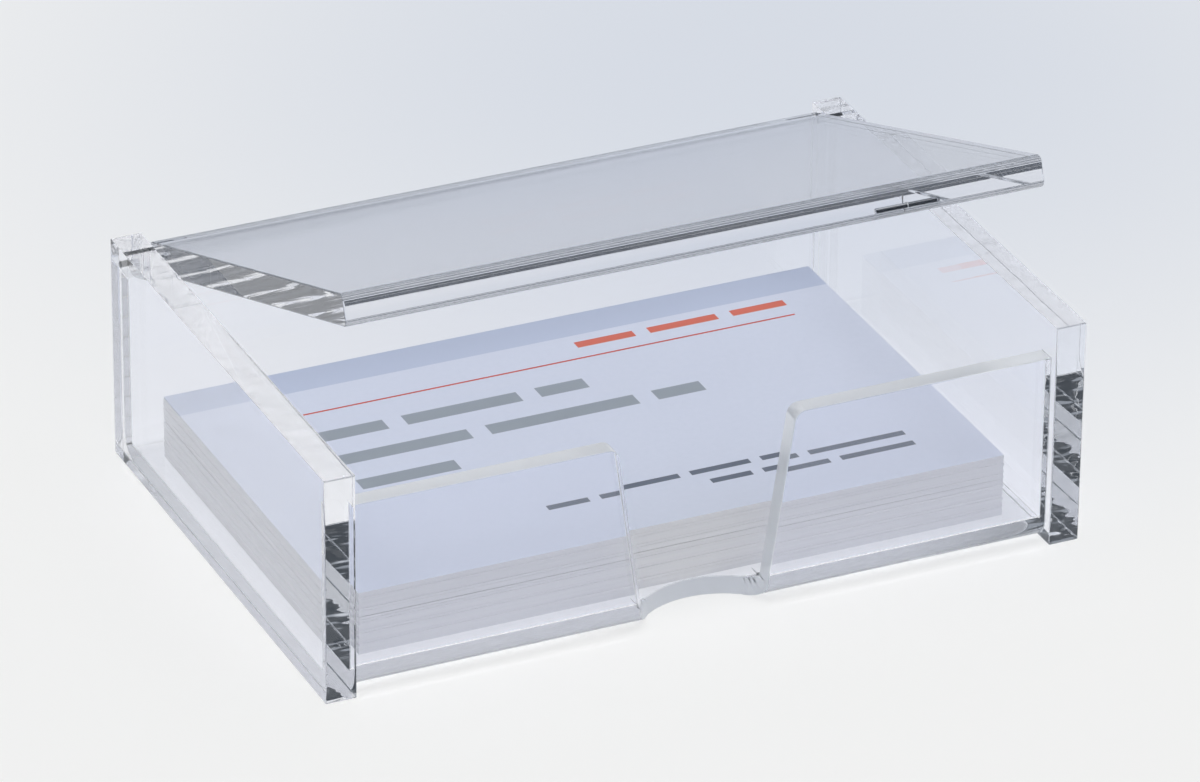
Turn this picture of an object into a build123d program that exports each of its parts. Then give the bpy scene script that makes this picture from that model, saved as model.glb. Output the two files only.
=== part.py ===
"""A clear acrylic desk box for business cards, with a lid that turns on two steel pins.

+Z is up, the finger notch faces -Y, and the origin is under the middle of the box.
Lengths are in millimetres and angles in degrees. The lid is drawn part open.
"""

import os
from math import cos, pi, radians, sin, sqrt

from build123d import *

# Cards, the loose stack that the box is made round
card_width = 85.6
card_depth = 54.0
card_thickness = 0.35
card_air_gap = 0.01
card_count = 23
card_shift_x = -0.7
card_shift_y = -0.7
card_shuffle = 0.05
card_shuffle_turn = 137.5
card_skew = 0.05
card_bundle_count = 14
card_bundle_gap = 0.09

# Box: the room left round the cards, and the height of the sides
room_across = 3.2
room_deep = 3.65
box_height = 30.0

# Side panels, flat sheet
side_thickness = 4.0

# Tray, one sheet bent up at the front and the back
tray_thickness = 2.5
tray_bend_radius = 0.5
tray_front_inset = 1.2
tray_back_inset = 0.5

# Finger notch, down the front wall and round the bend into the base
notch_top_width = 23.4
notch_foot_width = 16.8
notch_corner_radius = 1.5
notch_base_run = 1.9
notch_end_radius = 11.0
notch_bend_steps = 6

# Lid, flat sheet
lid_thickness = 4.0
lid_open_angle = 19.6
lid_front_ease = 0.9
lid_front_inset = 0.5
lid_end_gap = 0.5
lid_seat_drop = 0.5
lid_swing_gap = 0.2

# Hinge pins, cut from steel wire; the right one is pressed in deeper than the left
pin_diameter = 0.8
pin_length = 7.3
pin_inset = 3.2
pin_drop = 2.1
right_pin_sink = 1.4
pin_running_gap = 0.05
pin_end_gap = 0.3
pin_chamfer = 0.1

# Cuts run this far past the faces that they open
overrun = 1.0

# Sizes that follow
inner_width = card_width + 2 * room_across
box_width = inner_width + 2 * side_thickness
inner_depth = card_depth + 2 * room_deep
box_depth = inner_depth + 2 * tray_thickness + tray_front_inset + tray_back_inset

front_face = tray_front_inset - box_depth / 2
front_inner = front_face + tray_thickness
back_face = box_depth / 2 - tray_back_inset
back_inner = back_face - tray_thickness

hinge_y = box_depth / 2 - pin_inset
hinge_z = box_height - pin_drop
lid_width = inner_width - 2 * lid_end_gap
lid_reach = hinge_y + box_depth / 2 - lid_front_inset
lid_round = lid_thickness / 2
lid_hole_depth = pin_length + right_pin_sink - side_thickness - lid_end_gap + pin_end_gap

# The closed lid rests on the front wall, and its round back edge turns just above the back wall
front_wall_top = hinge_z - lid_thickness / 2 - lid_seat_drop
back_wall_top = hinge_z - lid_round - lid_swing_gap

# The front bend turns about a line inside the tray, parallel to X
bend_outer_radius = tray_bend_radius + tray_thickness
bend_middle_radius = tray_bend_radius + tray_thickness / 2
bend_y = front_face + bend_outer_radius
bend_z = bend_outer_radius
notch_end_y = bend_y + notch_base_run


def side_panel(side):
    """Make one side panel with its pin hole.

    Args:
        side: -1 for the left panel, 1 for the right one.

    Returns:
        The finished panel.
    """
    with BuildPart() as panel:
        with BuildSketch(Plane.YZ.offset(side * inner_width / 2)):
            with Locations((0, box_height / 2)):
                Rectangle(box_depth, box_height)
            with Locations((hinge_y, hinge_z)):
                Circle(pin_diameter / 2, mode=Mode.SUBTRACT)
        extrude(amount=side * side_thickness)
    return panel.part


def hinge_pin(side, sink):
    """Make one hinge pin, eased at its inner end.

    Args:
        side: -1 for the left pin, 1 for the right one.
        sink: How deep its outer end lies below the side panel's outer face.

    Returns:
        The finished pin.
    """
    with BuildPart() as pin:
        with BuildSketch(Plane.YZ.offset(side * (box_width / 2 - sink))):
            with Locations((hinge_y, hinge_z)):
                Circle(pin_diameter / 2)
        extrude(amount=-side * pin_length)
        inner_end = pin.faces().sort_by(Axis((0, 0, 0), (-side, 0, 0)))[-1]
        chamfer(inner_end.edges(), pin_chamfer)
    return pin.part


def notch_half_width(distance):
    """Half the notch's width inside the bend and the base.

    Args:
        distance: Distance from the notch's round end, measured along the middle of the sheet.

    Returns:
        Half the width: the round end's chord, until it meets the notch's straight sides.
    """
    chord = sqrt(distance * (2 * notch_end_radius - distance))
    return min(chord, notch_foot_width / 2)


# Side panels
left_side_panel = side_panel(-1)
right_side_panel = side_panel(1)

# Tray: a bent sheet between the side panels
with BuildPart() as tray:
    with BuildSketch(Plane.YZ) as tray_profile:
        with BuildLine():
            Polyline(
                (front_face, front_wall_top),
                (front_face, 0),
                (back_face, 0),
                (back_face, back_wall_top),
                (back_inner, back_wall_top),
                (back_inner, tray_thickness),
                (front_inner, tray_thickness),
                (front_inner, front_wall_top),
                close=True,
            )
        make_face()
        fillet(tray_profile.vertices().group_by(Axis.Y)[1], tray_bend_radius)
        fillet(tray_profile.vertices().group_by(Axis.Y)[0], bend_outer_radius)
    extrude(amount=inner_width / 2, both=True)

    # The notch's straight sides open upwards through the flat of the front wall
    foot_half = notch_foot_width / 2
    top_half = notch_top_width / 2
    with BuildSketch(Plane.XZ.offset(-front_inner)):
        with BuildLine():
            Polyline(
                (-foot_half, bend_z - tray_bend_radius),
                (foot_half, bend_z - tray_bend_radius),
                (foot_half, bend_z),
                (top_half, front_wall_top),
                (-top_half, front_wall_top),
                (-foot_half, bend_z),
                close=True,
            )
        make_face()
    extrude(amount=tray_thickness + overrun, mode=Mode.SUBTRACT)

    # Round the bend the notch narrows, always square to the sheet
    radial_inside = tray_bend_radius / 2
    radial_outside = bend_outer_radius + overrun
    for step in range(notch_bend_steps + 1):
        turn = step / notch_bend_steps * pi / 2
        half = notch_half_width(notch_base_run + bend_middle_radius * (pi / 2 - turn))
        outward = (0, -cos(turn), -sin(turn))
        along = (0, sin(turn), -cos(turn))
        with BuildSketch(Plane((0, bend_y, bend_z), x_dir=outward, z_dir=along)):
            with Locations(((radial_inside + radial_outside) / 2, 0)):
                Rectangle(radial_outside - radial_inside, 2 * half)
    loft(ruled=True, mode=Mode.SUBTRACT)

    # In the base it closes with a round end
    end_half = notch_half_width(notch_base_run)
    with BuildSketch(Plane.XY):
        with BuildLine():
            ThreePointArc((end_half, bend_y), (0, notch_end_y), (-end_half, bend_y))
            Polyline(
                (-end_half, bend_y),
                (-end_half, bend_y - tray_bend_radius),
                (end_half, bend_y - tray_bend_radius),
                (end_half, bend_y),
            )
        make_face()
    extrude(amount=tray_thickness + tray_bend_radius / 2, mode=Mode.SUBTRACT)

    # Finger-safe corners where the notch meets the top of the front wall
    for side in (-1, 1):
        corner = (side * top_half, front_face, front_wall_top)
        fillet(tray.edges().filter_by(Axis.Y).sort_by_distance(corner)[0], notch_corner_radius)

# Lid: a flat sheet, its back edge fully rounded about the pins and its front edge eased,
# with a blind hole in each end
lid_backwards = (0, cos(radians(lid_open_angle)), -sin(radians(lid_open_angle)))
lid_plane = Plane((0, hinge_y, hinge_z), x_dir=lid_backwards, z_dir=(1, 0, 0))
with BuildPart() as lid:
    with BuildSketch(lid_plane) as lid_profile:
        with Locations((-lid_reach / 2, 0)):
            Rectangle(lid_reach, lid_thickness)
        fillet(lid_profile.vertices().group_by(Axis.X)[0], lid_front_ease)
        Circle(lid_round)
    extrude(amount=lid_width / 2, both=True)
    for side in (-1, 1):
        with BuildSketch(Plane.YZ.offset(side * lid_width / 2)):
            with Locations((hinge_y, hinge_z)):
                Circle(pin_diameter / 2 + pin_running_gap)
        extrude(amount=-side * lid_hole_depth, mode=Mode.SUBTRACT)

# Hinge pins, the left one flush
left_hinge_pin = hinge_pin(-1, 0)
right_hinge_pin = hinge_pin(1, right_pin_sink)

# Card stack: two bundles of loose cards, each card a little out of line with the one below
with BuildPart() as card_stack:
    for level in range(card_count):
        turn = radians(level * card_shuffle_turn)
        drift_x = card_shift_x + card_shuffle * sin(turn)
        drift_y = card_shift_y + card_shuffle * cos(2 * turn)
        card_bottom = tray_thickness + card_air_gap + level * (card_thickness + card_air_gap)
        if level >= card_bundle_count:
            card_bottom += card_bundle_gap
        with BuildSketch(Plane.XY.offset(card_bottom)):
            with Locations((drift_x, drift_y)):
                Rectangle(card_width, card_depth, rotation=card_skew * sin(2 * turn))
        extrude(amount=card_thickness)

pieces = {
    "left_side_panel": left_side_panel,
    "right_side_panel": right_side_panel,
    "tray": tray.part,
    "lid": lid.part,
    "left_hinge_pin": left_hinge_pin,
    "right_hinge_pin": right_hinge_pin,
    "card_stack": card_stack.part,
}

os.makedirs("parts", exist_ok=True)
for name, piece in pieces.items():
    piece.label = name
    export_step(piece, f"parts/{name}.step")
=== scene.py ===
"""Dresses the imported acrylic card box: clear sheet, steel pins, card stock and a pale studio.

Lengths that end in _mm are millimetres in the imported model's own frame. All others are metres.
"""

import logging
import math
from dataclasses import dataclass
from enum import Enum

import bpy
import numpy as np
from mathutils import Matrix


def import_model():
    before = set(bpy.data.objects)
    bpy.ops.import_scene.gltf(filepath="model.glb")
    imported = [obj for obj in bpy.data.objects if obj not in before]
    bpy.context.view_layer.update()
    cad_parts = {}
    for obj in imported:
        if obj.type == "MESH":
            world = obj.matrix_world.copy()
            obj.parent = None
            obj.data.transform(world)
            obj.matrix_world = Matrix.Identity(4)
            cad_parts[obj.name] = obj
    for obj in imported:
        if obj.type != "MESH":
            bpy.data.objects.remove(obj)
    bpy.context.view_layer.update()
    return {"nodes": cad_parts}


MM = 0.001
WHITE = (1.0, 1.0, 1.0, 1.0)
LOG = logging.getLogger("card_box")


class Sheet(Enum):
    """The piece that a sheet was cut for, which tells its cut edges and its cemented faces."""

    SIDE = "side"
    TRAY = "tray"
    LID = "lid"


def linear(code: str) -> tuple[float, float, float, float]:
    """Turn a colour written as sRGB hex into linear light.

    The sRGB curve is a straight line near black, and a power of 2.4 above that.

    Args:
        code: Six hex digits after a hash sign.

    Returns:
        Red, green and blue in linear light, and an alpha of 1.
    """
    share = np.array([int(code[at:at + 2], 16) for at in (1, 3, 5)]) / 255
    light = np.where(share <= 0.04045, share / 12.92, ((share + 0.055) / 1.055) ** 2.4)
    return (*light.tolist(), 1.0)


def add_node(tree: bpy.types.NodeTree, kind: str, inputs: dict | None = None,
             **settings: object) -> bpy.types.Node:
    """Add one shader node with its settings, values and links.

    Args:
        tree: The node tree that gets the node.
        kind: The node's class name.
        inputs: Socket name or number to a value, or to the output socket that feeds it.
        settings: The node's own properties.

    Returns:
        The new node.
    """
    made = tree.nodes.new(kind)
    for name, value in settings.items():
        setattr(made, name, value)
    for key, value in (inputs or {}).items():
        if isinstance(value, bpy.types.NodeSocket):
            tree.links.new(value, made.inputs[key])
        else:
            made.inputs[key].default_value = value
    return made


def new_material(name: str) -> bpy.types.Material:
    """Make an empty node material.

    Args:
        name: The material's name.

    Returns:
        The material, with no nodes in its tree.
    """
    made = bpy.data.materials.new(name)
    made.use_nodes = True
    made.node_tree.nodes.clear()
    return made


def set_material(piece: bpy.types.Object, material: bpy.types.Material) -> None:
    """Put one material in the first slot of a piece.

    Args:
        piece: The object to dress.
        material: Its new material.
    """
    if not piece.data.materials:
        piece.data.materials.append(material)
    piece.material_slots[0].link = "OBJECT"
    piece.material_slots[0].material = material


def grid_mesh(name: str, points: np.ndarray) -> bpy.types.Object:
    """Make a mesh object from a grid of points, one quad between each four neighbours.

    Args:
        name: The object's name.
        points: Rows by columns by 3, in metres.

    Returns:
        The new object, linked to the scene.
    """
    rows, columns = points.shape[:2]
    index = np.arange(rows * columns).reshape(rows, columns)
    corners = [index[:-1, :-1], index[:-1, 1:], index[1:, 1:], index[1:, :-1]]
    quads = np.stack(corners, axis=-1).reshape(-1, 4)
    mesh = bpy.data.meshes.new(name)
    mesh.from_pydata(points.reshape(-1, 3).tolist(), [], quads.tolist())
    mesh.update()
    made = bpy.data.objects.new(name, mesh)
    bpy.context.scene.collection.objects.link(made)
    return made


@dataclass(frozen=True)
class EasedEdge:
    """The small rounding that a scraper leaves along a sheet's sharp edges."""

    width_mm: float
    steps: int = 3
    sharp_degrees: float = 35.0
    flat_degrees: float = 0.5
    weld_mm: float = 0.002
    face_weight: int = 100

    def ease(self, piece: bpy.types.Object) -> None:
        """Round the sharp edges of a piece with modifiers, and keep its flat faces flat.

        Args:
            piece: The object whose edges are eased.
        """
        weld = piece.modifiers.new("weld", "WELD")
        weld.merge_threshold = self.weld_mm * MM
        flats = piece.modifiers.new("flats", "DECIMATE")
        flats.decimate_type = "DISSOLVE"
        flats.angle_limit = math.radians(self.flat_degrees)
        bevel = piece.modifiers.new("eased edges", "BEVEL")
        bevel.width = self.width_mm * MM
        bevel.segments = self.steps
        bevel.limit_method = "ANGLE"
        bevel.angle_limit = math.radians(self.sharp_degrees)
        bevel.use_clamp_overlap = False
        normals = piece.modifiers.new("flat faces", "WEIGHTED_NORMAL")
        normals.weight = self.face_weight


@dataclass(frozen=True)
class EdgeFinish:
    """How a face was finished: its ripples' length and depth, its roughness, and their stretch."""

    wave_mm: float
    depth_mm: float
    roughness: float = 0.0
    stretch: tuple[float, float, float] = (1.0, 1.0, 1.0)


@dataclass(frozen=True)
class CastAcrylic:
    """Cast acrylic sheet, sawn to size, its edges then polished, scraped or left matt."""

    # The eye sees through the faces, which swell by a micrometre over a centimetre or two. It sees
    # the sheet itself at its edges: bright and dark layers in polished ones, a pale veil in satin
    # ones. The faces on the desk, and a side's back edge, have a finish of their own.
    name: str
    sheet: Sheet
    edge: EdgeFinish
    foot: EdgeFinish | None = None
    tint: str = "#FAFBFF"
    edge_tint: str = "#FAFBFF"
    ior: float = 1.49
    face_wave_mm: float = 14.0
    face_depth_mm: float = 0.0012

    # Cosines that tell a cut edge by the way it looks, and the lid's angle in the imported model
    edge_cosine: float = 0.6
    notch_cosine: float = 0.3
    lid_open_degrees: float = 19.6

    # Where the pieces meet, the pin's hole with a little to spare, and where a foot finish ends
    seam_x_mm: float = 46.0
    seam_half_mm: float = 0.01
    tray_front_mm: float = -32.8
    tray_back_mm: float = 33.5
    tray_sheet_mm: float = 2.5
    tray_bend_mm: float = 3.0
    tray_top_mm: float = 25.4
    tray_rim_mm: float = 0.2
    notch_end_mm: tuple[float, float] = (-29.9, -27.7)
    above_box_mm: float = 100.0
    hinge_mm: tuple[float, float] = (30.8, 27.9)
    pin_hole_radius_mm: float = 0.42
    pin_end_mm: float = 48.6
    foot_top_mm: float = 0.2
    side_back_mm: float = 33.8

    def make(self) -> bpy.types.Material:
        """Make the material: clear plastic with finished edges, its cemented faces out of sight.

        The surface's height is the sheet's long swell, or a finished face's own ripples.

        Returns:
            The material.
        """
        made = new_material(self.name)
        tree = made.node_tree
        coordinates = add_node(tree, "ShaderNodeTexCoord")
        place, facing = coordinates.outputs["Object"], coordinates.outputs["Normal"]
        bent = self.sheet is Sheet.TRAY
        cut = self.tray_edges(tree, place, facing) if bent else self.flat_edges(tree, facing)
        finishes = [(cut, self.edge)]
        if self.foot is not None:
            finishes.append((self.foot_faces(tree, place), self.foot))
        swell = add_node(tree, "ShaderNodeTexNoise", {
            "Vector": place, "Scale": 1 / (self.face_wave_mm * MM), "Detail": 1.0})
        height = add_node(tree, "ShaderNodeMath", {
            0: swell.outputs[0], 1: self.face_depth_mm * MM}, operation="MULTIPLY").outputs[0]
        rough = 0.0
        for where, finish in finishes:
            along = add_node(tree, "ShaderNodeMapping", {"Vector": place, "Scale": finish.stretch})
            ripples = add_node(tree, "ShaderNodeTexNoise", {
                "Vector": along.outputs[0], "Scale": 1 / (finish.wave_mm * MM),
                "Detail": 1.0, "Roughness": 0.4})
            rise = add_node(tree, "ShaderNodeMath", {
                0: ripples.outputs[0], 1: finish.depth_mm * MM}, operation="MULTIPLY")
            height = add_node(tree, "ShaderNodeMix", {
                0: where, 2: height, 3: rise.outputs[0]}).outputs[0]
            if finish.roughness:
                rough = add_node(tree, "ShaderNodeMix", {
                    0: where, 2: rough, 3: finish.roughness}).outputs[0]
        bump = add_node(tree, "ShaderNodeBump", {
            "Height": height, "Distance": 1.0, "Strength": 1.0})
        tone = linear(self.tint)
        if self.edge_tint != self.tint:
            tone = add_node(tree, "ShaderNodeMix", {
                0: cut, 6: tone, 7: linear(self.edge_tint)}, data_type="RGBA").outputs[2]
        surface = add_node(tree, "ShaderNodeBsdfPrincipled", {
            "Base Color": tone, "Roughness": rough, "IOR": self.ior, "Transmission Weight": 1.0,
            "Normal": bump.outputs["Normal"]})
        if self.sheet is not Sheet.LID:
            joined = self.joined_faces(tree, place)
            gone = add_node(tree, "ShaderNodeBsdfTransparent", {"Color": WHITE})
            surface = add_node(tree, "ShaderNodeMixShader", {
                0: joined, 1: surface.outputs[0], 2: gone.outputs[0]})
        add_node(tree, "ShaderNodeOutputMaterial", {"Surface": surface.outputs[0]})
        return made

    def flat_edges(self, tree: bpy.types.NodeTree,
                   facing: bpy.types.NodeSocket) -> bpy.types.NodeSocket:
        """Mark the cut edges of a flat sheet: the faces that don't look along its thickness.

        Args:
            tree: The material's node tree.
            facing: The surface's direction on the object.

        Returns:
            A socket that is 1 on the cut edges and 0 elsewhere.
        """
        turn = math.radians(self.lid_open_degrees)
        lid_through = (0.0, math.sin(turn), math.cos(turn))
        through = lid_through if self.sheet is Sheet.LID else (1.0, 0.0, 0.0)
        along = add_node(tree, "ShaderNodeVectorMath", {
            0: facing, 1: through}, operation="DOT_PRODUCT")
        flat = add_node(tree, "ShaderNodeMath", {0: along.outputs["Value"]}, operation="ABSOLUTE")
        return add_node(tree, "ShaderNodeMath", {
            0: flat.outputs[0], 1: self.edge_cosine}, operation="LESS_THAN").outputs[0]

    def tray_edges(self, tree: bpy.types.NodeTree, place: bpy.types.NodeSocket,
                   facing: bpy.types.NodeSocket) -> bpy.types.NodeSocket:
        """Mark the cut edges of the bent sheet: its wall tops, its notch, and the notch's end.

        Args:
            tree: The material's node tree.
            place: The point's place on the object, in metres.
            facing: The surface's direction on the object.

        Returns:
            A socket that is 1 on the cut edges and 0 elsewhere.
        """
        axis = add_node(tree, "ShaderNodeSeparateXYZ", {0: place})
        way = add_node(tree, "ShaderNodeSeparateXYZ", {0: facing})
        looks = {}
        for letter, least in (("X", self.notch_cosine), ("Y", self.notch_cosine),
                              ("Z", self.edge_cosine)):
            either_way = add_node(tree, "ShaderNodeMath", {
                0: way.outputs[letter]}, operation="ABSOLUTE")
            looks[letter] = add_node(tree, "ShaderNodeMath", {
                0: either_way.outputs[0], 1: least}, operation="GREATER_THAN").outputs[0]
        high = add_node(tree, "ShaderNodeMath", {
            0: axis.outputs["Z"], 1: (self.tray_top_mm - self.tray_rim_mm) * MM},
            operation="GREATER_THAN")
        top = add_node(tree, "ShaderNodeMath", {
            0: high.outputs[0], 1: looks["Z"]}, operation="MULTIPLY")
        near, far = self.notch_end_mm
        in_base = add_node(tree, "ShaderNodeMath", {
            0: axis.outputs["Y"], 1: (near + far) / 2 * MM, 2: (far - near) / 2 * MM},
            operation="COMPARE")
        end = add_node(tree, "ShaderNodeMath", {
            0: in_base.outputs[0], 1: looks["Y"]}, operation="MULTIPLY")
        either = add_node(tree, "ShaderNodeMath", {
            0: looks["X"], 1: top.outputs[0]}, operation="MAXIMUM")
        return add_node(tree, "ShaderNodeMath", {
            0: either.outputs[0], 1: end.outputs[0]}, operation="MAXIMUM").outputs[0]

    def foot_faces(self, tree: bpy.types.NodeTree,
                   place: bpy.types.NodeSocket) -> bpy.types.NodeSocket:
        """Mark the faces that stand on the desk, and on a side its back edge too.

        Args:
            tree: The material's node tree.
            place: The point's place on the object, in metres.

        Returns:
            A socket that is 1 on those faces and 0 elsewhere.
        """
        axis = add_node(tree, "ShaderNodeSeparateXYZ", {0: place})
        foot = add_node(tree, "ShaderNodeMath", {
            0: axis.outputs["Z"], 1: self.foot_top_mm * MM}, operation="LESS_THAN")
        if self.sheet is Sheet.TRAY:
            return foot.outputs[0]
        back = add_node(tree, "ShaderNodeMath", {
            0: axis.outputs["Y"], 1: self.side_back_mm * MM}, operation="GREATER_THAN")
        return add_node(tree, "ShaderNodeMath", {
            0: foot.outputs[0], 1: back.outputs[0]}, operation="MAXIMUM").outputs[0]

    def joined_faces(self, tree: bpy.types.NodeTree,
                     place: bpy.types.NodeSocket) -> bpy.types.NodeSocket:
        """Mark the faces that touch another piece: the tray's ends, or on a side their print.

        A side's pin hole counts too, as far as its pin fills it.

        Args:
            tree: The material's node tree.
            place: The point's place on the object, in metres.

        Returns:
            A socket that is 1 on those faces and 0 elsewhere.
        """
        axis = add_node(tree, "ShaderNodeSeparateXYZ", {0: place})
        across = add_node(tree, "ShaderNodeMath", {0: axis.outputs["X"]}, operation="ABSOLUTE")
        on_seam = add_node(tree, "ShaderNodeMath", {
            0: across.outputs[0], 1: self.seam_x_mm * MM, 2: self.seam_half_mm * MM},
            operation="COMPARE")
        if self.sheet is Sheet.TRAY:
            return on_seam.outputs[0]
        on_side = add_node(tree, "ShaderNodeCombineXYZ", {
            "Y": axis.outputs["Y"], "Z": axis.outputs["Z"]}).outputs[0]
        tray_print = self.tray_print(tree, on_side)
        below = add_node(tree, "ShaderNodeMath", {
            0: axis.outputs["Z"], 1: self.tray_top_mm * MM}, operation="LESS_THAN")
        print_low = add_node(tree, "ShaderNodeMath", {
            0: tray_print, 1: below.outputs[0]}, operation="MULTIPLY")
        print_on = add_node(tree, "ShaderNodeMath", {
            0: print_low.outputs[0], 1: on_seam.outputs[0]}, operation="MULTIPLY")
        hinge_y, hinge_z = self.hinge_mm
        from_hinge = add_node(tree, "ShaderNodeVectorMath", {
            0: on_side, 1: (0.0, hinge_y * MM, hinge_z * MM)}, operation="DISTANCE")
        in_hole = add_node(tree, "ShaderNodeMath", {
            0: from_hinge.outputs["Value"], 1: self.pin_hole_radius_mm * MM}, operation="LESS_THAN")
        pinned = add_node(tree, "ShaderNodeMath", {
            0: axis.outputs["X"], 1: self.pin_end_mm * MM}, operation="LESS_THAN")
        filled = add_node(tree, "ShaderNodeMath", {
            0: in_hole.outputs[0], 1: pinned.outputs[0]}, operation="MULTIPLY")
        return add_node(tree, "ShaderNodeMath", {
            0: print_on.outputs[0], 1: filled.outputs[0]}, operation="MAXIMUM").outputs[0]

    def tray_print(self, tree: bpy.types.NodeTree,
                   on_side: bpy.types.NodeSocket) -> bpy.types.NodeSocket:
        """Mark the bent sheet's section on a side, with walls that run up past the box's top.

        It is a round-cornered box less the box inside it. A point is in such a box where the
        length of what it lies past the straight part, in Y and in Z, is under the corner's radius.

        Args:
            tree: The material's node tree.
            on_side: The point's Y and Z, in metres, with no X.

        Returns:
            A socket that is 1 in the section and 0 elsewhere.
        """
        bend, sheet, high = self.tray_bend_mm, self.tray_sheet_mm, self.above_box_mm
        middle = (self.tray_back_mm + self.tray_front_mm) / 2
        half = (self.tray_back_mm - self.tray_front_mm) / 2
        inside = []
        for inset, radius in ((0.0, bend), (sheet, bend - sheet)):
            centre = (0.0, middle * MM, (high + inset) / 2 * MM)
            straight = (0.0, (half - inset - radius) * MM, ((high - inset) / 2 - radius) * MM)
            offset = add_node(tree, "ShaderNodeVectorMath", {
                0: on_side, 1: centre}, operation="SUBTRACT")
            folded = add_node(tree, "ShaderNodeVectorMath", {
                0: offset.outputs[0]}, operation="ABSOLUTE")
            past = add_node(tree, "ShaderNodeVectorMath", {
                0: folded.outputs[0], 1: straight}, operation="SUBTRACT")
            outside = add_node(tree, "ShaderNodeVectorMath", {
                0: past.outputs[0], 1: (0.0, 0.0, 0.0)}, operation="MAXIMUM")
            reach = add_node(tree, "ShaderNodeVectorMath", {
                0: outside.outputs[0]}, operation="LENGTH")
            within = add_node(tree, "ShaderNodeMath", {
                0: reach.outputs["Value"], 1: radius * MM}, operation="LESS_THAN")
            inside.append(within.outputs[0])
        return add_node(tree, "ShaderNodeMath", {
            0: inside[0], 1: inside[1]}, operation="SUBTRACT").outputs[0]


@dataclass(frozen=True)
class DrawnSteel:
    """Drawn steel wire: a dark grey metal with fine lines along its length."""

    # The eye sees a dull dark streak of light along the wire, broken by the lines of the die.
    # The lines are drawn coarser than real ones, which are too fine to show.
    name: str = "drawn steel wire"
    colour: str = "#6E7175"
    roughness: float = 0.32
    wear: float = 0.08
    line_mm: float = 0.12
    line_depth_mm: float = 0.004
    line_stretch: tuple[float, float, float] = (0.04, 1.0, 1.0)

    def make(self) -> bpy.types.Material:
        """Make the material: dark metal with drawing lines along X.

        Returns:
            The material.
        """
        made = new_material(self.name)
        tree = made.node_tree
        place = add_node(tree, "ShaderNodeTexCoord").outputs["Object"]
        along = add_node(tree, "ShaderNodeMapping", {"Vector": place, "Scale": self.line_stretch})
        lines = add_node(tree, "ShaderNodeTexNoise", {
            "Vector": along.outputs[0], "Scale": 1 / (self.line_mm * MM), "Detail": 2.0})
        bump = add_node(tree, "ShaderNodeBump", {
            "Height": lines.outputs[0], "Distance": self.line_depth_mm * MM, "Strength": 0.6})
        rough = add_node(tree, "ShaderNodeMapRange", {
            "Value": lines.outputs[0], "To Min": self.roughness - self.wear,
            "To Max": self.roughness + self.wear})
        metal = add_node(tree, "ShaderNodeBsdfPrincipled", {
            "Base Color": linear(self.colour), "Metallic": 1.0, "Roughness": rough.outputs[0],
            "Normal": bump.outputs["Normal"]})
        add_node(tree, "ShaderNodeOutputMaterial", {"Surface": metal.outputs[0]})
        return made


@dataclass(frozen=True)
class PrintOrShadowLine:
    """A line of plain printed bars, or the band of painted shadow: its middle and half height, its
    bars' ends, and its colour.
    """

    y_mm: float
    half_mm: float
    bars_mm: tuple[tuple[float, float], ...]
    ink_or_shadow: str


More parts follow.
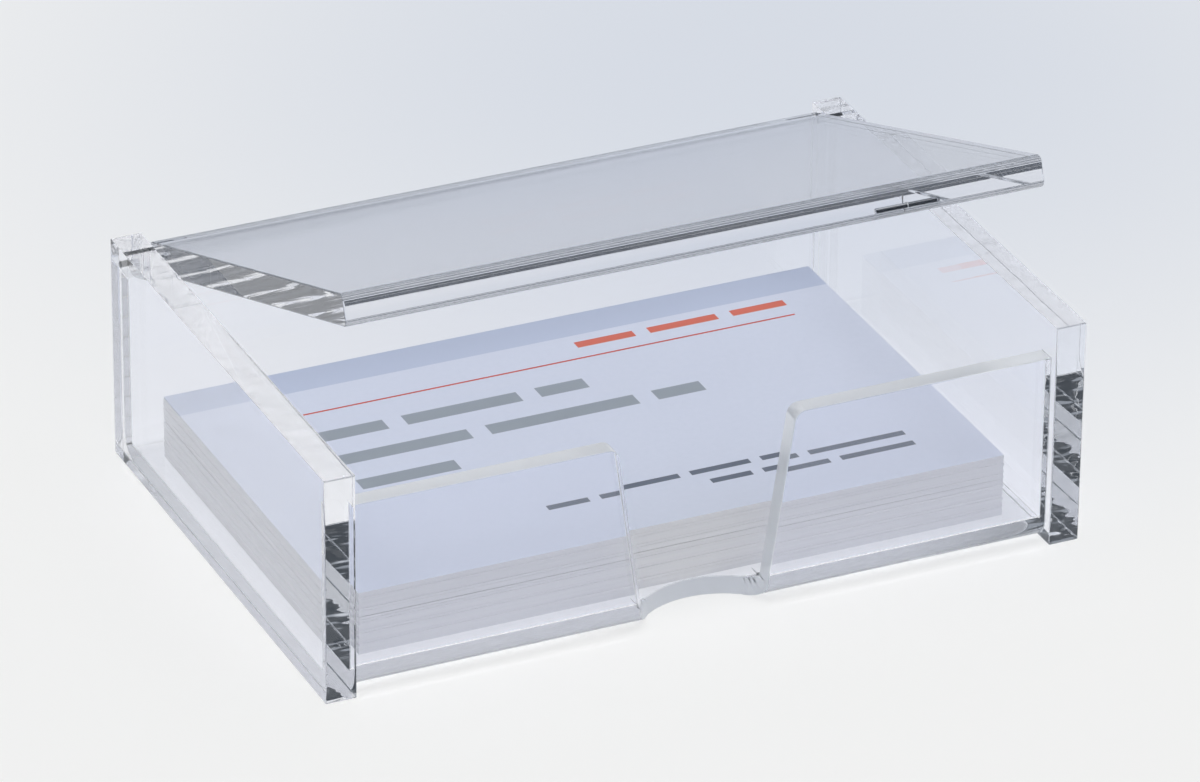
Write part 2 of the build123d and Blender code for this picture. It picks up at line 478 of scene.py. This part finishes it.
@dataclass(frozen=True)
class CardStock:
    """Coated white card, guillotined in a stack, the topmost printed with plain bars and painted
    with a band of shadow along its back edge.
    """

    # The eye sees a smooth cool white with a faint cloud of fibre, and a warmer cut edge with the
    # cards' layers in it. A grey-blue band along the top card's back edge is painted shadow.
    name: str = "coated card stock"
    face: str = "#D4D9E7"
    fibre: str = "#CED4E2"
    cut: str = "#F0F0F4"
    cut_line: str = "#E4E5EB"
    roughness: float = 0.55
    fibre_mm: float = 0.9
    fibre_depth_mm: float = 0.004
    layer_mm: float = 0.3
    layer_stretch: tuple[float, float, float] = (0.02, 0.02, 1.0)
    flank_cosine: float = 0.5
    top_mm: float = 10.7
    lines: tuple[PrintOrShadowLine, ...] = (
        # The first line is no print but painted shadow: a grey-blue band along the top card's back
        # edge, the shadow of the lid's back and the back wall.
        PrintOrShadowLine(23.6, 2.7, ((-60.0, 60.0),), "#BBC4D8"),
        PrintOrShadowLine(15.0, 0.16, ((-32.4, 34.8),), "#C8503C"),
        PrintOrShadowLine(18.4, 0.75, ((6.0, 14.0), (16.0, 25.5), (27.5, 35.0)), "#D8705C"),
        PrintOrShadowLine(8.8, 1.25, ((-33.0, -24.0), (-21.5, -6.0), (-3.5, 3.0)), "#98A0A8"),
        PrintOrShadowLine(2.4, 1.25, ((-33.0, -15.5), (-13.0, 7.0), (9.5, 16.0)), "#98A0A8"),
        PrintOrShadowLine(-4.2, 1.25, ((-33.0, -20.0),), "#98A0A8"),
        PrintOrShadowLine(-17.6, 0.55, (
            (-14.5, -9.0), (-7.5, 3.5), (5.0, 13.0), (14.5, 19.0), (20.5, 33.5)), "#6C7482"),
        PrintOrShadowLine(-20.4, 0.55, ((6.5, 12.0), (13.5, 22.0), (23.5, 33.5)), "#6C7482"),
    )

    def make(self) -> bpy.types.Material:
        """Make the material: cool white with faint fibre, lined cut edges, and the bars and the
        painted shadow band on top.

        Returns:
            The material.
        """
        made = new_material(self.name)
        tree = made.node_tree
        coordinates = add_node(tree, "ShaderNodeTexCoord")
        place, facing = coordinates.outputs["Object"], coordinates.outputs["Normal"]
        axis = add_node(tree, "ShaderNodeSeparateXYZ", {0: place})
        fibre = add_node(tree, "ShaderNodeTexNoise", {
            "Vector": place, "Scale": 1 / (self.fibre_mm * MM), "Detail": 3.0, "Roughness": 0.6})
        face = add_node(tree, "ShaderNodeMix", {
            0: fibre.outputs[0], 6: linear(self.face), 7: linear(self.fibre)}, data_type="RGBA")
        layers = add_node(tree, "ShaderNodeMapping", {
            "Vector": place, "Scale": self.layer_stretch})
        lined = add_node(tree, "ShaderNodeTexNoise", {
            "Vector": layers.outputs[0], "Scale": 1 / (self.layer_mm * MM),
            "Detail": 2.0, "Roughness": 0.7})
        cut = add_node(tree, "ShaderNodeMix", {
            0: lined.outputs[0], 6: linear(self.cut), 7: linear(self.cut_line)}, data_type="RGBA")
        way = add_node(tree, "ShaderNodeSeparateXYZ", {0: facing})
        upright = add_node(tree, "ShaderNodeMath", {0: way.outputs["Z"]}, operation="ABSOLUTE")
        steep = add_node(tree, "ShaderNodeMath", {
            0: upright.outputs[0], 1: self.flank_cosine}, operation="LESS_THAN")
        below = add_node(tree, "ShaderNodeMath", {
            0: axis.outputs["Z"], 1: self.top_mm * MM}, operation="LESS_THAN")
        flank = add_node(tree, "ShaderNodeMath", {
            0: steep.outputs[0], 1: below.outputs[0]}, operation="MAXIMUM")
        paper = add_node(tree, "ShaderNodeMix", {
            0: flank.outputs[0], 6: face.outputs[2], 7: cut.outputs[2]}, data_type="RGBA")
        printed = self.lay_bars_and_shadow(tree, axis, paper.outputs[2])
        bump = add_node(tree, "ShaderNodeBump", {
            "Height": fibre.outputs[0], "Distance": self.fibre_depth_mm * MM, "Strength": 0.3})
        card = add_node(tree, "ShaderNodeBsdfPrincipled", {
            "Base Color": printed, "Roughness": self.roughness, "Normal": bump.outputs["Normal"]})
        add_node(tree, "ShaderNodeOutputMaterial", {"Surface": card.outputs[0]})
        return made

    def lay_bars_and_shadow(self, tree: bpy.types.NodeTree, axis: bpy.types.Node,
                 paper: bpy.types.NodeSocket) -> bpy.types.NodeSocket:
        """Lay the plain bars and the painted shadow band over the paper, on the topmost card alone.

        A bar is where a point lies within its half length and half height of its middle.

        Args:
            tree: The material's node tree.
            axis: The node that gives the point's X, Y and Z, in metres.
            paper: The paper's own colour.

        Returns:
            The printed colour, with the painted shadow band.
        """
        on_top = add_node(tree, "ShaderNodeMath", {
            0: axis.outputs["Z"], 1: self.top_mm * MM}, operation="GREATER_THAN")
        tone = paper
        for line in self.lines:
            level = add_node(tree, "ShaderNodeMath", {
                0: axis.outputs["Y"], 1: line.y_mm * MM, 2: line.half_mm * MM},
                operation="COMPARE")
            row = add_node(tree, "ShaderNodeMath", {
                0: level.outputs[0], 1: on_top.outputs[0]}, operation="MULTIPLY")
            for left, right in line.bars_mm:
                bar = add_node(tree, "ShaderNodeMath", {
                    0: axis.outputs["X"], 1: (left + right) / 2 * MM, 2: (right - left) / 2 * MM},
                    operation="COMPARE")
                inked_or_shaded = add_node(tree, "ShaderNodeMath", {
                    0: bar.outputs[0], 1: row.outputs[0]}, operation="MULTIPLY")
                tone = add_node(tree, "ShaderNodeMix", {
                    0: inked_or_shaded.outputs[0], 6: tone, 7: linear(line.ink_or_shadow)},
                    data_type="RGBA").outputs[2]
        return tone


@dataclass
class AcrylicBox:
    """The cemented box: two sides and the bent tray between them."""

    eased: EasedEdge = EasedEdge(width_mm=0.16)
    side_nodes: tuple[str, str] = ("left_side_panel", "right_side_panel")
    tray_node: str = "tray"
    side_polished: EdgeFinish = EdgeFinish(wave_mm=7.0, depth_mm=0.03)
    side_sawn: EdgeFinish = EdgeFinish(
        wave_mm=4.0, depth_mm=0.35, roughness=0.03, stretch=(0.8, 1.0, 1.0))
    # The scraped grain of the tray's edges is drawn coarser than real, which is too fine to show
    tray_satin: EdgeFinish = EdgeFinish(wave_mm=0.5, depth_mm=0.002, roughness=0.28)
    tray_matt: EdgeFinish = EdgeFinish(wave_mm=1.6, depth_mm=0.04, roughness=0.38)
    tray_edge_tint: str = "#EFF3F4"

    def dress(self, nodes: dict[str, bpy.types.Object]) -> list[bpy.types.Object]:
        """Ease the edges and give each piece its acrylic.

        Args:
            nodes: The CAD nodes by name.

        Returns:
            The dressed pieces.
        """
        side = CastAcrylic(
            "polished cast acrylic, side", Sheet.SIDE, self.side_polished, self.side_sawn).make()
        tray = CastAcrylic(
            "bent cast acrylic, tray", Sheet.TRAY, self.tray_satin, self.tray_matt,
            edge_tint=self.tray_edge_tint).make()
        pieces = []
        for name in (*self.side_nodes, self.tray_node):
            piece = nodes[name]
            self.eased.ease(piece)
            set_material(piece, tray if name == self.tray_node else side)
            pieces.append(piece)
        return pieces


@dataclass
class HingedLid:
    """The flat lid, which turns on the pins."""

    eased: EasedEdge = EasedEdge(width_mm=0.2)
    node: str = "lid"
    polished: EdgeFinish = EdgeFinish(wave_mm=6.0, depth_mm=0.002)

    def dress(self, nodes: dict[str, bpy.types.Object]) -> list[bpy.types.Object]:
        """Ease the lid's edges and give it its acrylic.

        Args:
            nodes: The CAD nodes by name.

        Returns:
            The lid alone.
        """
        piece = nodes[self.node]
        self.eased.ease(piece)
        acrylic = CastAcrylic("polished cast acrylic, lid", Sheet.LID, self.polished)
        set_material(piece, acrylic.make())
        return [piece]


@dataclass
class HingePins:
    """The two steel pins in the sides."""

    pin_nodes: tuple[str, str] = ("left_hinge_pin", "right_hinge_pin")

    def dress(self, nodes: dict[str, bpy.types.Object]) -> list[bpy.types.Object]:
        """Give both pins their drawn steel.

        Args:
            nodes: The CAD nodes by name.

        Returns:
            The dressed pins.
        """
        steel = DrawnSteel().make()
        pins = [nodes[name] for name in self.pin_nodes]
        for pin in pins:
            set_material(pin, steel)
        return pins


@dataclass
class CardStack:
    """The loose cards in the tray."""

    node: str = "card_stack"

    def dress(self, nodes: dict[str, bpy.types.Object]) -> list[bpy.types.Object]:
        """Give the cards their stock and print, and return them."""
        set_material(nodes[self.node], CardStock().make())
        return [nodes[self.node]]


@dataclass
class PaperSweep:
    """The floor: matt white paper, with painted shade that greys it to a cool grey behind the box.
    """

    # The eye sees a white sheet with a soft shadow and no grain, and a cool grey of painted shade
    # behind the box. Glass and gloss also see the sweep's end, out of the camera's view, painted
    # darker as shade.
    half: float = 8.0
    inner: float = 0.4
    drop_mm: float = 0.05
    near_white: str = "#F9F9F8"
    # Painted shade: the paper greys to this tone round a point behind the box.
    painted_shade_grey: str = "#DEE3EC"
    shade_mm: tuple[float, float] = (75.0, 100.0)
    fade_mm: tuple[float, float] = (10.0, 165.0)
    # Painted shade seen by all rays but the camera's: the sweep darkens with distance from the box,
    # and darker still in front.
    sweep_mm: tuple[float, ...] = (128.0, 145.0, 180.0, 215.0)
    painted_sweep_shades: tuple[str, ...] = ("#FFFFFF", "#70757C", "#7A7F87", "#C8CCD4")
    front_mm: tuple[float, float] = (-80.0, -150.0)
    painted_front_shade: str = "#5A5E64"
    shadow_lift: float = 0.62

    def build(self) -> bpy.types.Object:
        """Lay the paper, a flat grid of four by four points, just under the box.

        Returns:
            The floor object.
        """
        line = np.array([-self.half, -self.inner, self.inner, self.half])
        across, along = np.meshgrid(line, line)
        level = np.full_like(across, -self.drop_mm * MM)
        floor = grid_mesh("studio_floor", np.stack([across, along, level], axis=-1))
        set_material(floor, self.make())
        return floor

    def make(self) -> bpy.types.Material:
        """Make the paper's material.

        The camera sees the paper's white with its painted shade. Other rays see it times the
        sweep's painted shade. For the camera, glass and gloss a share of the tone glows, which
        lifts the shadow a little.

        Returns:
            The material.
        """
        made = new_material("matt paper sweep")
        tree = made.node_tree
        place = add_node(tree, "ShaderNodeTexCoord").outputs["Object"]
        path = add_node(tree, "ShaderNodeLightPath")
        unseen = add_node(tree, "ShaderNodeMath", {
            0: 1.0, 1: path.outputs["Is Camera Ray"]}, operation="SUBTRACT")
        # The paper's white with its painted shade, times the sweep's painted shade for all rays but
        # the camera's.
        paper = add_node(tree, "ShaderNodeMix", {
            0: unseen.outputs[0], 6: self.paper_with_painted_shade(tree, place), 7: self.painted_sweep_shade(tree, place)},
            data_type="RGBA", blend_type="MULTIPLY")
        matt = add_node(tree, "ShaderNodeBsdfDiffuse", {"Color": paper.outputs[2]})
        glow = add_node(tree, "ShaderNodeEmission", {"Color": paper.outputs[2], "Strength": 1.0})
        mirrored = add_node(tree, "ShaderNodeMath", {
            0: path.outputs["Is Glossy Ray"], 1: path.outputs["Is Transmission Ray"]},
            operation="MAXIMUM")
        watched = add_node(tree, "ShaderNodeMath", {
            0: path.outputs["Is Camera Ray"], 1: mirrored.outputs[0]}, operation="MAXIMUM")
        share = add_node(tree, "ShaderNodeMath", {
            0: watched.outputs[0], 1: self.shadow_lift}, operation="MULTIPLY")
        lifted = add_node(tree, "ShaderNodeMixShader", {
            0: share.outputs[0], 1: matt.outputs[0], 2: glow.outputs[0]})
        add_node(tree, "ShaderNodeOutputMaterial", {"Surface": lifted.outputs[0]})
        return made

    def paper_with_painted_shade(self, tree: bpy.types.NodeTree,
                   place: bpy.types.NodeSocket) -> bpy.types.NodeSocket:
        """Paint shade on the paper: it greys towards a point behind the box.

        Args:
            tree: The material's node tree.
            place: The point's place on the floor, in metres.

        Returns:
            The paper's white with its painted shade.
        """
        shade_x, shade_y = self.shade_mm
        shade = add_node(tree, "ShaderNodeVectorMath", {
            0: place, 1: (shade_x * MM, shade_y * MM, 0.0)}, operation="DISTANCE")
        near, far = self.fade_mm
        fade = add_node(tree, "ShaderNodeMapRange", {
            "Value": shade.outputs["Value"], "From Min": near * MM, "From Max": far * MM},
            interpolation_type="SMOOTHSTEP")
        return add_node(tree, "ShaderNodeMix", {
            0: fade.outputs[0], 6: linear(self.painted_shade_grey), 7: linear(self.near_white)},
            data_type="RGBA").outputs[2]

    def painted_sweep_shade(self, tree: bpy.types.NodeTree,
                   place: bpy.types.NodeSocket) -> bpy.types.NodeSocket:
        """Paint shade on the sweep's end by its distance from the box, and paint it darker in
        front.

        Args:
            tree: The material's node tree.
            place: The point's place on the floor, in metres.

        Returns:
            The sweep's painted shade, white near the box.
        """
        first, *between, last = self.sweep_mm
        reach = add_node(tree, "ShaderNodeVectorMath", {0: place}, operation="LENGTH")
        depth = add_node(tree, "ShaderNodeMapRange", {
            "Value": reach.outputs["Value"], "From Min": first * MM, "From Max": last * MM})
        ramp = add_node(tree, "ShaderNodeValToRGB", {0: depth.outputs[0]})
        stops = ramp.color_ramp.elements
        for at_mm in between:
            stops.new((at_mm - first) / (last - first))
        for stop, code in zip(stops, self.painted_sweep_shades):
            stop.color = linear(code)
        axis = add_node(tree, "ShaderNodeSeparateXYZ", {0: place})
        start, end = self.front_mm
        front = add_node(tree, "ShaderNodeMapRange", {
            "Value": axis.outputs["Y"], "From Min": start * MM, "From Max": end * MM})
        return add_node(tree, "ShaderNodeMix", {
            0: front.outputs[0], 6: ramp.outputs[0], 7: linear(self.painted_front_shade)},
            data_type="RGBA", blend_type="MULTIPLY").outputs[2]


@dataclass(frozen=True)
class RoomPatch:
    """A patch of the room: its colour, its soft edges in X, Y or Z of the direction, its level."""

    colour: str
    edges: tuple[tuple[str, float, float], ...]
    level: float = 1.0


@dataclass
class GreyRoom:
    """The room round the box: what lights the paper, what glass shows, and the backdrop."""

    backdrop: str = "#DFE5EE"
    lit_room: str = "#A5A8AC"
    lit_patches: tuple[RoomPatch, ...] = (
        RoomPatch("#34373B", (("X", -0.15, -0.5),)),
        RoomPatch("#B8BABE", (("Y", -0.2, -0.6), ("X", -0.5, -0.15))),
        RoomPatch("#FFFFFF", (("Z", 0.80, 0.90),), 2.85),
    )
    seen_room: str = "#A8ACB1"
    seen_patches: tuple[RoomPatch, ...] = (
        RoomPatch("#565B62", (("Y", -0.1, -0.3),)),
        RoomPatch("#6E747C", (("Y", -0.1, -0.3), ("Z", 0.25, 0.28), ("Z", 0.42, 0.39))),
        RoomPatch("#343A42", (("Y", -0.1, -0.3), ("Z", 0.24, 0.20))),
        RoomPatch("#8B9199", (("Y", 0.25, 0.55),)),
        RoomPatch("#C9CDD2", (("Y", 0.25, 0.55), ("Z", 0.64, 0.72))),
        RoomPatch("#2C343D", (("Y", 0.25, 0.55), ("Z", 0.34, 0.40), ("Z", 0.64, 0.56))),
        RoomPatch("#EDEFF0", (("Z", 0.84, 0.92),)),
    )

    def build(self) -> None:
        """Light the scene from a soft light overhead in a grey room.

        Paper gets the plain room with its light. Glass shows the room's walls and gaps, and the
        light no brighter than a photograph's white. The camera sees the backdrop.
        """
        world = bpy.data.worlds.new("studio")
        world.use_nodes = True
        tree = world.node_tree
        tree.nodes.clear()
        lit = self.lay_patches(tree, self.lit_room, self.lit_patches)
        seen = self.lay_patches(tree, self.seen_room, self.seen_patches)
        path = add_node(tree, "ShaderNodeLightPath")
        onto_paper = add_node(tree, "ShaderNodeMath", {
            0: path.outputs["Diffuse Depth"], 1: 0.5}, operation="GREATER_THAN")
        room = add_node(tree, "ShaderNodeMix", {
            0: onto_paper.outputs[0], 6: seen, 7: lit}, data_type="RGBA")
        whole = add_node(tree, "ShaderNodeMix", {
            0: path.outputs["Is Camera Ray"], 6: room.outputs[2], 7: linear(self.backdrop)},
            data_type="RGBA")
        glow = add_node(tree, "ShaderNodeBackground", {
            "Color": whole.outputs[2], "Strength": 1.0})
        add_node(tree, "ShaderNodeOutputWorld", {"Surface": glow.outputs[0]})
        bpy.context.scene.world = world

    def lay_patches(self, tree: bpy.types.NodeTree, base: str,
                    patches: tuple[RoomPatch, ...]) -> bpy.types.NodeSocket:
        """Draw a room by direction, each patch laid over those before it.

        A patch covers what all of its soft edges let through, their smooth steps multiplied.

        Args:
            tree: The world's node tree.
            base: The colour where no patch lies.
            patches: The patches in order.

        Returns:
            The room's colour.
        """
        sky = add_node(tree, "ShaderNodeTexCoord")
        axis = add_node(tree, "ShaderNodeSeparateXYZ", {0: sky.outputs["Generated"]})
        room = linear(base)
        for patch in patches:
            cover = 1.0
            for letter, start, stop in patch.edges:
                cover = add_node(tree, "ShaderNodeMapRange", {
                    "Value": axis.outputs[letter], "From Min": start, "From Max": stop,
                    "To Max": cover}, interpolation_type="SMOOTHSTEP").outputs[0]
            red, green, blue, _ = (patch.level * part for part in linear(patch.colour))
            room = add_node(tree, "ShaderNodeMix", {
                0: cover, 6: room, 7: (red, green, blue, 1.0)}, data_type="RGBA").outputs[2]
        return room


@dataclass
class PhotoCamera:
    """The camera where the photograph was taken from, its angles in degrees."""

    azimuth: float = -24.7276
    elevation: float = 28.1223
    roll: float = 0.5379
    distance_mm: float = 976.0213
    target_mm: tuple[float, float, float] = (0.9129, 0.0, 14.4631)
    focal_pixels: float = 7935.2975
    photo_width: int = 1200
    sensor_mm: float = 36.0
    near_clip: float = 0.01

    def build(self) -> bpy.types.Object:
        """Set the camera up, looking at its target from its distance.

        Returns:
            The camera object.
        """
        turn, rise, roll = (
            math.radians(angle) for angle in (self.azimuth, self.elevation, self.roll))
        across = np.array([math.cos(turn), math.sin(turn), 0.0])
        ahead = np.array([
            -math.sin(turn) * math.cos(rise), math.cos(turn) * math.cos(rise), -math.sin(rise)])
        upward = np.cross(across, ahead)
        lens = bpy.data.cameras.new("camera")
        lens.sensor_width = self.sensor_mm
        lens.sensor_fit = "HORIZONTAL"
        lens.lens = self.focal_pixels / self.photo_width * self.sensor_mm
        lens.clip_start = self.near_clip
        place = np.eye(4)
        place[:3, 0] = math.cos(roll) * across + math.sin(roll) * upward
        place[:3, 1] = math.cos(roll) * upward - math.sin(roll) * across
        place[:3, 2] = -ahead
        place[:3, 3] = (np.array(self.target_mm) - ahead * self.distance_mm) * MM
        made = bpy.data.objects.new("camera", lens)
        made.matrix_world = Matrix(place.tolist())
        bpy.context.scene.collection.objects.link(made)
        bpy.context.scene.camera = made
        return made


def set_light_paths(bounces: int = 64) -> None:
    """Let light run along the inside of the sheets, and keep colours as they are written.

    Args:
        bounces: How often light may turn before it is given up.
    """
    scene = bpy.context.scene
    scene.view_settings.view_transform = "Standard"
    scene.cycles.max_bounces = bounces
    scene.cycles.transmission_bounces = bounces
    scene.cycles.glossy_bounces = bounces
    scene.cycles.transparent_max_bounces = bounces
    scene.cycles.blur_glossy = 0.0


def main() -> None:
    """Load the frame, dress each sub-assembly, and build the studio."""
    logging.basicConfig(level=logging.INFO, format="%(message)s")
    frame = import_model()
    for assembly in (AcrylicBox(), HingedLid(), HingePins(), CardStack()):
        for piece in assembly.dress(frame["nodes"]):
            LOG.info("%s: %s", type(assembly).__name__, piece.name)
    for stage in (PaperSweep(), GreyRoom(), PhotoCamera()):
        stage.build()
        LOG.info("%s: built", type(stage).__name__)
    set_light_paths()


if __name__ == "__main__":
    main()
